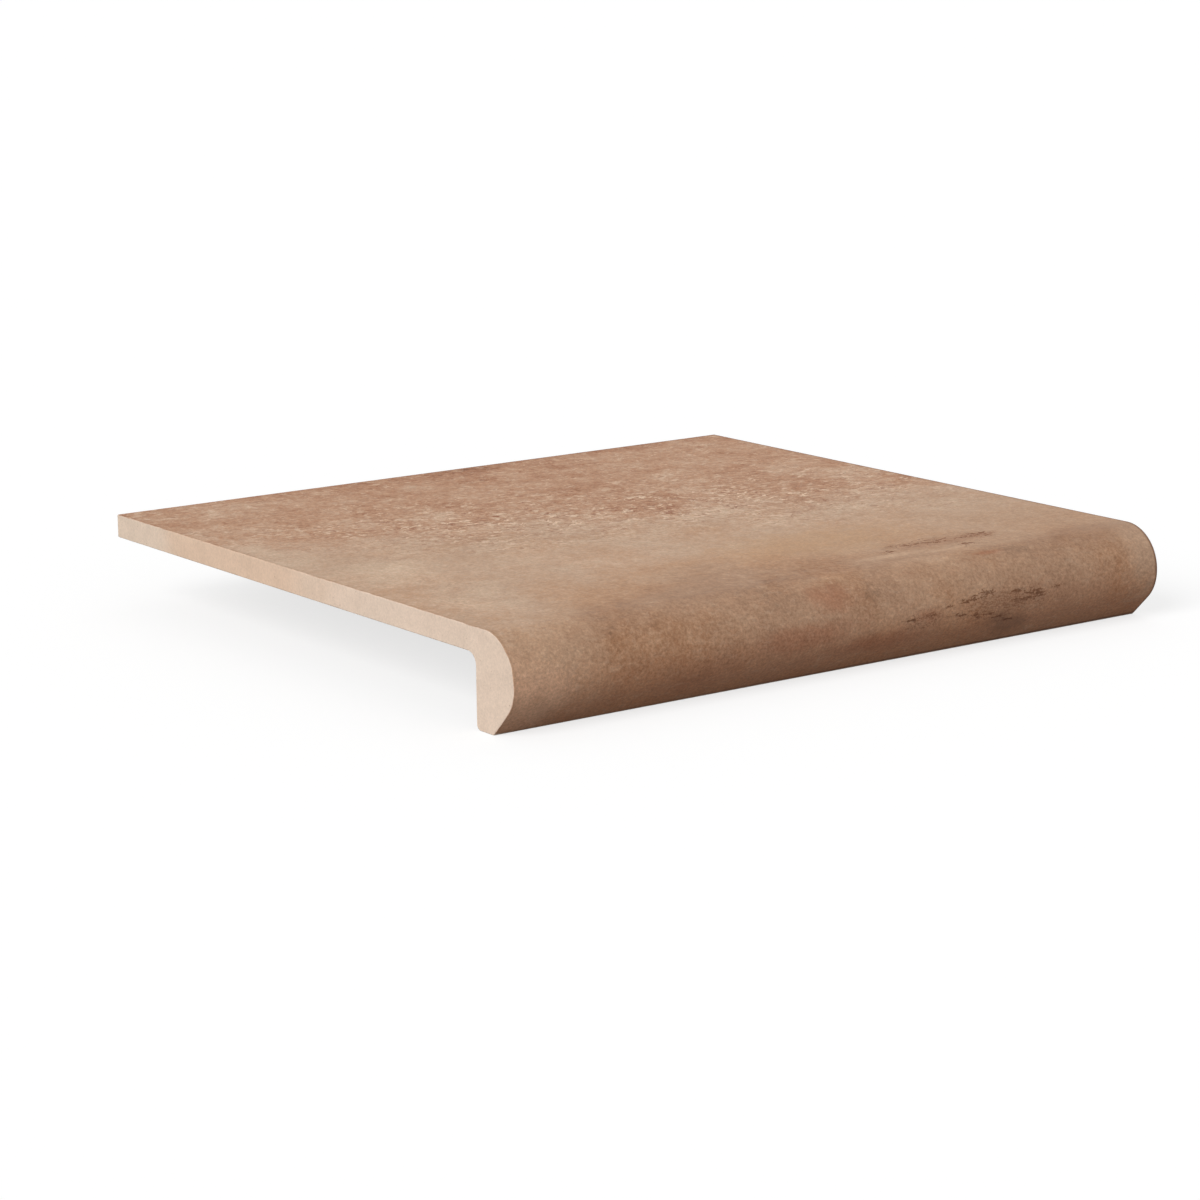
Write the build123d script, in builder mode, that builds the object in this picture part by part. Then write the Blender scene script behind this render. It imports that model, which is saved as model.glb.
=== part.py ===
"""Stair tread tile, fired as one piece: a flat ceramic slab whose front edge turns down into a rounded nose.

The tile lies as it is laid on a stair: walking face up, nose to the front.
X runs along the nose, +Y towards the back edge and +Z up.
The origin is under the middle of the tile, level with the foot of the nose.
"""

import math
import os

from build123d import *

# Sizes of the tile in plan and of its section, in millimetres
tile_width = 360.0  # along the nose
slab_depth = 304.0  # back edge to the inner face of the nose
slab_thickness = 11.0
nose_drop = 32.0  # underside of the slab down to the foot of the nose
nose_thickness = 27.0  # inner face of the nose to its foremost line
foot_width = 12.0  # flat underneath the nose

# Shape of the nose
crown_radius = 20.0  # from the walking face round to the front
front_flat = 0.5  # upright strip left between the crown and the chin
bevel_angle = 45.0  # slope of the bevel above the foot, in degrees from level
toe_radius = 0.8  # between the bevel and the foot
heel_radius = 2.5  # between the foot and the inner face
inner_radius = 5.5  # hollow corner between the inner face and the underside
arris_radius = 0.6  # softened edges of the two ends and of the back

# Keyed underside: shallow slots that hold the bedding mortar, kept clear of every edge
key_width = 6.0
key_depth = 0.8
key_pitch = 15.0
key_margin = 16.0  # plain border round the slots

# Places worked out from the sizes above
overall_depth = slab_depth + nose_thickness
top_height = nose_drop + slab_thickness
front_y = -overall_depth / 2
back_y = overall_depth / 2
inner_y = front_y + nose_thickness
toe_y = inner_y - foot_width

# The chin rounds the front into the bevel with all the height that the crown and the flat leave it
chin_height = (nose_thickness - foot_width) * math.tan(math.radians(bevel_angle))
chin_tangent = top_height - crown_radius - front_flat - chin_height
chin_radius = chin_tangent / math.tan(math.radians(90 - bevel_angle) / 2)

# Corners of the section with their radii, from the back of the walking face round the nose to the underside
section_corners = [
    ((back_y, top_height), 0),
    ((front_y, top_height), crown_radius),
    ((front_y, chin_height), chin_radius),
    ((toe_y, 0), toe_radius),
    ((inner_y, 0), heel_radius),
    ((inner_y, nose_drop), inner_radius),
    ((back_y, nose_drop), 0),
]

# The slots run along the nose, on the flat of the underside behind the hollow corner
key_field_front = inner_y + inner_radius + key_margin
key_field_back = back_y - key_margin
key_count = int((key_field_back - key_field_front - key_width) // key_pitch) + 1
key_field_middle = (key_field_front + key_field_back) / 2
key_length = tile_width - 2 * key_margin

with BuildPart() as stair_tread_tile:
    # Slab and nose are one section, carried along the width
    with BuildSketch(Plane.YZ):
        with BuildLine():
            FilletPolyline(
                *[corner for corner, radius in section_corners],
                radius=[radius for corner, radius in section_corners],
                close=True,
            )
        make_face()
    extrude(amount=tile_width / 2, both=True)

    # Softened edges round both ends and along the back
    end_faces = stair_tread_tile.faces().filter_by(Axis.X)
    back_face = stair_tread_tile.faces().sort_by(Axis.Y)[-1]
    back_edges = back_face.edges().filter_by(Axis.X)
    fillet(end_faces.edges() + back_edges, radius=arris_radius)

    # Keying slots pressed up into the underside
    underside = Plane((0, key_field_middle, nose_drop), x_dir=(1, 0, 0), z_dir=(0, 0, -1))
    with BuildSketch(underside):
        with GridLocations(key_length, key_pitch, 1, key_count):
            SlotOverall(key_length, key_width)
    extrude(amount=-key_depth, mode=Mode.SUBTRACT)

stair_tread_tile.part.label = "stair_tread_tile"
os.makedirs("parts", exist_ok=True)
export_step(stair_tread_tile.part, "parts/stair_tread_tile.step")
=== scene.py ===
"""Looks of a stair tread tile: its fired surface and glaze, the studio and the camera, in metres.

The tile is one fired piece, so it is drawn as one closed skin. The section across the nose is carried along
the tile, each end is filled with a patch, and one material lays a matte mottled glaze over the walking face
and the nose and leaves the pale body bare on the ends, the back, the underside and the foot.
"""

import logging
import math
from dataclasses import dataclass, field
from enum import Enum

import bpy
import numpy as np
from mathutils import Matrix, Vector
from numpy.typing import NDArray


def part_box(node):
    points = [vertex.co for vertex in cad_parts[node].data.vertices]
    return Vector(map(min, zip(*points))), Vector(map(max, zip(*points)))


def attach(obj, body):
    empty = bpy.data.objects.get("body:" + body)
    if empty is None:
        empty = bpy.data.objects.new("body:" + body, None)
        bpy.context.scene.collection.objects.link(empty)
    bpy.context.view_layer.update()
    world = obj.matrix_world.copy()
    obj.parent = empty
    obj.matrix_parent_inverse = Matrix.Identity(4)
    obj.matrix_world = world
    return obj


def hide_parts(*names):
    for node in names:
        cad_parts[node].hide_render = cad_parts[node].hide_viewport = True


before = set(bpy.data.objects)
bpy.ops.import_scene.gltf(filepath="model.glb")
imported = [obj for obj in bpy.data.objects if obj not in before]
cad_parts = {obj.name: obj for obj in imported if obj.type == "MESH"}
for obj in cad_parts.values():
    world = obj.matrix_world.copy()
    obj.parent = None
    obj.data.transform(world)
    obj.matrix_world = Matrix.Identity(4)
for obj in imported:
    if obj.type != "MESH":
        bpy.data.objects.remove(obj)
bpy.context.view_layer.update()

log = logging.getLogger("stair_tread_tile")

Array = NDArray[np.float64]
Socket = bpy.types.NodeSocket
Amount = float | Socket
Pair = tuple[float, float]

MM = 0.001
PER_METRE = 1000.0
WHITE = (1.0, 1.0, 1.0, 1.0)
SHARP_CORNER = math.radians(38)
SLICE_SPACING = 7.3  # between slices of noise, in widths of its largest forms
NODE = "stair_tread_tile"
UNROLLED = "Unrolled"
BAKE_LAYOUT = "OFBake"
GLAZE_REACH = "glaze_reach"


class Side(Enum):
    """The four sides of the section's outline, in the order in which they follow each other."""

    GLAZED = 0
    FOOT = 1
    INNER = 2
    BACK = 3


class Mixing(Enum):
    """The ways in which one colour is laid on another."""

    OVER = "MIX"
    MULTIPLIED = "MULTIPLY"


class Noise(Enum):
    """What a field of noise gives: one value, or three as a colour."""

    VALUE = "Fac"
    COLOUR = "Color"


@dataclass(frozen=True)
class Colour:
    """A colour written as screen red, green and blue, from 0 to 255."""

    red: float
    green: float
    blue: float

    def linear(self) -> tuple[float, float, float, float]:
        """Gives the scene-linear colour by the sRGB curve, fully opaque."""
        screen = np.array([self.red, self.green, self.blue]) / 255
        light = np.where(screen <= 0.04045, screen / 12.92, ((screen + 0.055) / 1.055) ** 2.4)
        return (*light.tolist(), 1.0)


@dataclass(frozen=True)
class Run:
    """A stretch of the section's outline: points in Y and Z, and the directions that face outwards."""

    points: Array
    normals: Array

    @staticmethod
    def through(points: Array) -> "Run":
        """Makes a run through points on one straight line.

        The outward direction is the line's own direction turned a quarter to the right.

        Args:
            points: places in Y and Z, one row each, in order along the line.

        Returns:
            The run through those points.
        """
        along = points[-1] - points[0]
        along = along / np.linalg.norm(along)
        outward = np.array([along[1], -along[0]])
        return Run(points, np.tile(outward, (len(points), 1)))

    @staticmethod
    def straight(start: Pair, end: Pair, steps: int, lead: float = 0.0) -> "Run":
        """Makes a straight run: the start plus an even share of the way to the end.

        Args:
            start: first place in Y and Z.
            end: last place in Y and Z.
            steps: number of segments.
            lead: length of the first and last segment where they are kept short, so that shading stays flat.

        Returns:
            The run from start to end.
        """
        first, last = np.array(start), np.array(end)
        short = lead / np.linalg.norm(last - first)
        inner = np.linspace(short, 1 - short, steps - 1) if lead else np.linspace(0, 1, steps + 1)[1:-1]
        share = np.concatenate([[0.0], inner, [1.0]])
        return Run.through(first + share[:, None] * (last - first))

    @staticmethod
    def arc(centre: Pair, radius: float, first: float, last: float, steps: int) -> "Run":
        """Makes a round run: the centre plus the radius times the cosine and sine of an even row of angles.

        Where the angle grows, the round stands out and faces away from its centre. Where it falls, the round
        is hollow and faces its centre.

        Args:
            centre: middle of the round in Y and Z.
            radius: its radius.
            first: angle in degrees that it starts at, from +Y towards +Z.
            last: angle in degrees that it ends at.
            steps: number of segments.

        Returns:
            The run from the first angle to the last.
        """
        angle = np.radians(np.linspace(first, last, steps + 1))
        spoke = np.column_stack([np.cos(angle), np.sin(angle)])
        return Run(np.array(centre) + radius * spoke, spoke if last > first else -spoke)

    @staticmethod
    def joined(*runs: "Run") -> "Run":
        """Joins runs end to end and drops the doubled point at each joint."""
        points = np.concatenate([runs[0].points] + [run.points[1:] for run in runs[1:]])
        normals = np.concatenate([runs[0].normals] + [run.normals[1:] for run in runs[1:]])
        return Run(points, normals)


@dataclass(frozen=True)
class KeyedBed:
    """Shallow slots in the underside, along the nose, that key the tile into its mortar bed."""

    width: float = 6 * MM
    depth: float = 0.8 * MM
    pitch: float = 15 * MM
    margin: float = 16 * MM
    draft: float = 0.25 * MM
    tip: float = 0.94  # how far round the slot's end its lips run before they close
    land_steps: int = 3
    margin_steps: int = 6
    tip_steps: int = 4

    def middles(self, front: float, back: float) -> Array:
        """Spaces the slots' middles evenly, centred between the plain borders at the front and the back."""
        room = back - front - 2 * self.margin - self.width
        count = int(room / self.pitch + 1e-6) + 1
        return (front + back) / 2 + self.pitch * (np.arange(count) - (count - 1) / 2)

    def lines(self, front: float, back: float, lead: float) -> tuple[Array, Array, Array]:
        """Places the lines that run along the underside, from the front to the back.

        Each slot has a line on both lips, one at the foot of each wall and one along the middle. Even lines
        divide the land between two slots and the plain borders.

        Args:
            front: where the flat underside begins, behind the hollow corner.
            back: where it ends, at the back arris.
            lead: short first and last step that keeps the shading flat.

        Returns:
            The Y of each line's own middle, its offset from there, and 1 on the slots' floors, 0 elsewhere.
        """
        half = self.width / 2
        offsets = np.array([-half, self.draft - half, 0, half - self.draft, half])
        floor = np.array([0, 1, 1, 1, 0])
        middles = self.middles(front, back)
        gap = self.pitch - self.width
        lands = half + gap * np.arange(1, self.land_steps) / self.land_steps
        centre = np.hstack([np.repeat(middles[:, None], len(offsets), 1), middles[:, None] + lands]).ravel()
        offset = np.tile(np.concatenate([offsets, 0 * lands]), len(middles))
        sunk = np.tile(np.concatenate([floor, 0 * lands]), len(middles))
        keep = slice(0, -len(lands))
        before = np.linspace(front + lead, middles[0] - half, self.margin_steps)[:-1]
        before = np.concatenate([[front], before])
        after = np.linspace(middles[-1] + half, back - lead, self.margin_steps)[1:]
        after = np.concatenate([after, [back]])
        return (
            np.concatenate([before, centre[keep], after]),
            np.concatenate([0 * before, offset[keep], 0 * after]),
            np.concatenate([0 * before, sunk[keep], 0 * after]),
        )

    def stations(self, half_width: float) -> Array:
        """Gives the places along the tile, on its right half, that draw a slot's rounded end.

        Args:
            half_width: half the tile's width along the nose.

        Returns:
            Distances from the middle of the tile: a slot's length less a quarter turn of its end's radius,
            by the sine of an even row of angles, and one step past the end.
        """
        end = half_width - self.margin
        radius = self.width / 2
        turn = np.linspace(0, math.pi / 2, self.tip_steps + 1)
        return np.concatenate([end - radius + radius * np.sin(turn), [end + self.draft]])

    def narrowed(self, x: Array, half_width: float) -> Array:
        """Share of the slots' width at each station: a half circle at the tips, and all of it past them."""
        end = half_width - self.margin
        into_tip = np.clip((np.abs(x) - end) / (self.width / 2) + 1, 0, 1)
        share = np.sqrt(1 - (self.tip * into_tip) ** 2)
        return np.where(np.abs(x) > end + self.draft / 2, 1.0, share)

    def deep(self, x: Array, half_width: float) -> Array:
        """Share of the slots' depth at each station: all of it up to the tips, and none past them."""
        return (np.abs(x) < half_width - self.margin + self.draft / 2).astype(float)


@dataclass(frozen=True)
class TreadSection:
    """Section of the tile across its nose: the slab, the round crown, the chin, the bevel and the foot."""

    slab_thickness: float = 11 * MM
    nose_thickness: float = 27 * MM
    foot_width: float = 12 * MM
    crown_radius: float = 20 * MM
    front_flat: float = 0.5 * MM
    bevel_angle: float = 45.0
    toe_radius: float = 0.8 * MM
    heel_radius: float = 2.5 * MM
    hollow_radius: float = 5.5 * MM
    arris_radius: float = 0.6 * MM
    lead: float = 0.1 * MM
    corner_steps: int = 3
    crown_steps: int = 20
    chin_steps: int = 12
    bevel_steps: int = 10
    hollow_steps: int = 12
    short_steps: int = 8

    def flat_underside(self, low: Vector, high: Vector) -> tuple[float, float]:
        """Gives the Y where the flat underside begins and ends."""
        return low.y + self.nose_thickness + self.hollow_radius, high.y - self.arris_radius

    def sides(self, low: Vector, high: Vector, underside: Array) -> dict[Side, Run]:
        """Draws the outline anticlockwise, from the back of the walking face round the nose and back.

        The crown, the chin and the bevel are one tangent run. The chin takes all the height that the crown
        and the flat below it leave above the bevel. The four sides meet at the middles of the corner rounds.

        Args:
            low: lowest corner of the tile's box.
            high: highest corner of the tile's box.
            underside: Y of each line on the flat underside, from the front to the back.

        Returns:
            The run of each side.
        """
        front, back, top = low.y, high.y, high.z
        under = top - self.slab_thickness
        inner = front + self.nose_thickness
        toe = inner - self.foot_width
        bevel = math.radians(self.bevel_angle)
        bevel_faces = 270 - self.bevel_angle
        toe_middle = 270 - self.bevel_angle / 2
        brow = top - self.crown_radius - self.front_flat
        chin_tangent = brow - (toe - front) * math.tan(bevel)
        chin_radius = chin_tangent / math.tan((math.pi / 2 - bevel) / 2)
        arris, steps = self.arris_radius, self.corner_steps
        top_corner = (back - arris, top - arris)
        low_corner = (back - arris, under + arris)
        toe_centre = (toe + self.toe_radius * math.tan(bevel / 2), self.toe_radius)
        heel_centre = (inner - self.heel_radius, self.heel_radius)

        crown_centre = (front + self.crown_radius, top - self.crown_radius)
        crown = Run.arc(crown_centre, self.crown_radius, 90, 180, self.crown_steps)
        chin = Run.arc((front + chin_radius, brow), chin_radius, 180, bevel_faces, self.chin_steps)
        toe_first = Run.arc(toe_centre, self.toe_radius, bevel_faces, toe_middle, steps)
        toe_second = Run.arc(toe_centre, self.toe_radius, toe_middle, 270, steps)
        bevel_start, bevel_end = tuple(chin.points[-1]), tuple(toe_first.points[0])
        face_steps = len(underside) - 1
        inner_steps = self.crown_steps + 1 + self.chin_steps + self.bevel_steps - self.hollow_steps
        hollow_centre = (inner + self.hollow_radius, under - self.hollow_radius)
        hollow = Run.arc(hollow_centre, self.hollow_radius, 180, 90, self.hollow_steps)
        return {
            Side.GLAZED: Run.joined(
                Run.arc(top_corner, arris, 45, 90, steps),
                Run.straight((back - arris, top), (front + self.crown_radius, top), face_steps, self.lead),
                crown,
                Run.straight((front, top - self.crown_radius), (front, brow), 1),
                chin,
                Run.straight(bevel_start, bevel_end, self.bevel_steps, self.lead),
                toe_first,
            ),
            Side.FOOT: Run.joined(
                toe_second,
                Run.straight(tuple(toe_second.points[-1]), (heel_centre[0], 0), self.short_steps, self.lead),
                Run.arc(heel_centre, self.heel_radius, 270, 315, steps),
            ),
            Side.INNER: Run.joined(
                Run.arc(heel_centre, self.heel_radius, 315, 360, steps),
                Run.straight((inner, self.heel_radius), (inner, hollow_centre[1]), inner_steps, self.lead),
                hollow,
                Run.through(np.column_stack([underside, np.full(len(underside), under)])),
                Run.arc(low_corner, arris, 270, 315, steps),
            ),
            Side.BACK: Run.joined(
                Run.arc(low_corner, arris, 315, 360, steps),
                Run.straight((back, low_corner[1]), (back, top_corner[1]), self.short_steps, self.lead),
                Run.arc(top_corner, arris, 0, 45, steps),
            ),
        }


class Bench:
    """Adds nodes to one shader tree, so that a finish reads as a list of steps."""

    def __init__(self, tree: bpy.types.NodeTree) -> None:
        """Keeps the tree that the nodes go into."""
        self.tree = tree

    def add(self, kind: str, **settings: object) -> bpy.types.Node:
        """Adds a node of that kind and sets its properties."""
        node = self.tree.nodes.new(kind)
        for name, value in settings.items():
            setattr(node, name, value)
        return node

    def put(self, value: object, socket: Socket) -> None:
        """Links a node's output to a socket, or sets a plain value on it."""
        if isinstance(value, bpy.types.NodeSocket):
            self.tree.links.new(value, socket)
        else:
            socket.default_value = value

    def maths(self, operation: str, first: Amount, second: Amount) -> Socket:
        """Works out one sum of two amounts, by the Math node's name for it."""
        node = self.add("ShaderNodeMath", operation=operation)
        self.put(first, node.inputs[0])
        self.put(second, node.inputs[1])
        return node.outputs[0]

    def times(self, *amounts: Amount) -> Socket:
        """Multiplies the amounts together."""
        result = amounts[0]
        for amount in amounts[1:]:
            result = self.maths("MULTIPLY", result, amount)
        return result

    def plus(self, *amounts: Amount) -> Socket:
        """Adds the amounts up."""
        result = amounts[0]
        for amount in amounts[1:]:
            result = self.maths("ADD", result, amount)
        return result

    def rise(self, value: Amount, low: float, high: float, least: float = 0.0, most: float = 1.0) -> Socket:
        """Rises smoothly from least to most as the value goes from low to high.

        Args:
            value: what is measured.
            low: value at which the rise starts.
            high: value at which it ends.
            least: result below the rise.
            most: result above it.

        Returns:
            The smooth step.
        """
        node = self.add("ShaderNodeMapRange", interpolation_type="SMOOTHSTEP")
        amounts = {"Value": value, "From Min": low, "From Max": high, "To Min": least, "To Max": most}
        for name, amount in amounts.items():
            self.put(amount, node.inputs[name])
        return node.outputs["Result"]

    def blend(self, share: Amount, under: object, over: object, mixing: Mixing = Mixing.OVER) -> Socket:
        """Lays one colour over another.

        Args:
            share: how much of the upper colour is laid on, from 0 to 1.
            under: colour below, a socket or a Colour.
            over: colour above, a socket or a Colour.
            mixing: how it is laid on.

        Returns:
            The mixed colour.
        """
        node = self.add("ShaderNodeMix", data_type="RGBA", blend_type=mixing.value)
        self.put(share, node.inputs[0])
        # The node has sockets for each type of data: its colours are inputs 6 and 7 and output 2
        for colour, socket in ((under, node.inputs[6]), (over, node.inputs[7])):
            self.put(colour.linear() if isinstance(colour, Colour) else colour, socket)
        return node.outputs[2]

    def shaded(self, value: Socket, shades: tuple[tuple[float, Colour], ...]) -> Socket:
        """Turns a value from 0 to 1 into colour, going from shade to shade.

        Args:
            value: the field that is coloured.
            shades: value and colour of each shade, in rising order.

        Returns:
            The colour.
        """
        node = self.add("ShaderNodeValToRGB")
        stops = node.color_ramp.elements
        while len(stops) < len(shades):
            stops.new(1.0)
        for stop, (position, colour) in zip(stops, shades):
            stop.position = position
            stop.color = colour.linear()
        self.put(value, node.inputs["Fac"])
        return node.outputs["Color"]

    def around(self, field_of_noise: Socket) -> Socket:
        """Moves a field of noise from around 0.5 to around 0."""
        return self.maths("SUBTRACT", field_of_noise, 0.5)

    def between(self, share: Amount, first: Amount, second: Amount) -> Socket:
        """Goes from the first amount to the second as the share goes from 0 to 1."""
        node = self.add("ShaderNodeMix", data_type="FLOAT")
        for amount, socket in ((share, node.inputs[0]), (first, node.inputs[2]), (second, node.inputs[3])):
            self.put(amount, socket)
        return node.outputs[0]

    def split(self, vector: Socket) -> tuple[Socket, Socket]:
        """Gives the first two parts of a vector."""
        node = self.add("ShaderNodeSeparateXYZ")
        self.put(vector, node.inputs[0])
        return node.outputs[0], node.outputs[1]

    def vector(self, operation: str, first: Socket, second: object) -> Socket:
        """Works out one sum of a vector and another vector, or of a vector and a scale."""
        node = self.add("ShaderNodeVectorMath", operation=operation)
        self.put(first, node.inputs[0])
        self.put(second, node.inputs["Scale"] if operation == "SCALE" else node.inputs[1])
        return node.outputs[0]

    def noise(
        self,
        at: Socket,
        size: float,
        layer: int,
        detail: float = 4.0,
        rough: float = 0.55,
        gives: Noise = Noise.VALUE,
    ) -> Socket:
        """Adds a field of fractal noise.

        Args:
            at: place on the surface, in millimetres.
            size: width of its largest forms, in millimetres.
            layer: number of the slice that it is cut from, so that no two fields are alike.
            detail: number of finer layers in it.
            rough: strength of the finer layers.
            gives: one value or three.

        Returns:
            The field, around 0.5.
        """
        slice_apart = SLICE_SPACING * size
        place = self.vector("ADD", at, (0.0, 0.0, slice_apart * layer))
        node = self.add("ShaderNodeTexNoise")
        amounts = {"Vector": place, "Scale": 1 / size, "Detail": detail, "Roughness": rough}
        for name, amount in amounts.items():
            self.put(amount, node.inputs[name])
        return node.outputs[gives.value]

    def strayed(self, at: Socket, size: float, reach: float, layer: int) -> Socket:
        """Pushes places about by noise, so that forms get ragged edges.

        Args:
            at: place on the surface, in millimetres.
            size: width of the pushes.
            reach: how far a place is pushed at most, about.
            layer: number of the noise's slice.

        Returns:
            The pushed places.
        """
        push = self.noise(at, size, layer, 3.0, gives=Noise.COLOUR)
        push = self.vector("SUBTRACT", push, (0.5, 0.5, 0.5))
        return self.vector("ADD", at, self.vector("SCALE", push, 2 * reach))


def finish_group(name: str) -> tuple[Bench, Socket, bpy.types.Node]:
    """Starts a shader node group that reads places in metres and puts out what a finish is made of.

    Args:
        name: the group's name.

    Returns:
        A bench on the group, the place on the surface in millimetres, and the group's output node.
    """
    tree = bpy.data.node_groups.new(name, "ShaderNodeTree")
    tree.interface.new_socket("Place", in_out="INPUT", socket_type="NodeSocketVector")
    outputs = {"Colour": "NodeSocketColor", "Roughness": "NodeSocketFloat", "Height": "NodeSocketFloat"}
    for output, kind in outputs.items():
        tree.interface.new_socket(output, in_out="OUTPUT", socket_type=kind)
    bench = Bench(tree)
    place = bench.add("NodeGroupInput").outputs["Place"]
    return bench, bench.vector("SCALE", place, PER_METRE), bench.add("NodeGroupOutput")


@dataclass(frozen=True)
class Spot:
    """A soft patch on the unrolled glaze, in millimetres."""

    along: float  # its middle, along the nose from the middle of the tile
    down: float  # its middle, from the back edge over the walking face and down the nose
    half_length: float  # along the nose
    half_depth: float  # across it


@dataclass(frozen=True)
class Patches:
    """Soft patches that shift how pale the glaze fired, darker where the shift is negative. A few of them
    are painted light and shade.
    """

    shift: float
    spots: tuple[Spot, ...]


@dataclass(frozen=True)
class Tint:
    """Soft patches of one colour with torn edges."""

    colour: Colour
    strength: float
    spots: tuple[Spot, ...]


@dataclass(frozen=True)
class Streaks:
    """Thin broken strokes in soft patches, made of fibres and crumbs."""

    colour: Colour
    strength: float
    fibre: Pair  # length along the nose and width across it, in millimetres
    torn: float  # the higher, the more the strokes fall apart into dashes and dots
    spots: tuple[Spot, ...]


@dataclass(frozen=True)
class Zones:
    """The glaze's nodes so far: places in millimetres, and masks of the zones."""

    bench: Bench
    at: Socket  # place on the unrolled surface
    fine_at: Socket  # the same for fine marks, which are drawn out on the walking face
    down: Socket  # distance from the back edge
    drift: Socket  # how far the noise pushes a border
    slanted: Socket  # distance from the back edge, slanted and pushed about
    rusty: Socket  # 1 in the rust zone at the back
    lively: Socket  # 1 in the band where the fine flecks are strongest


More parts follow.
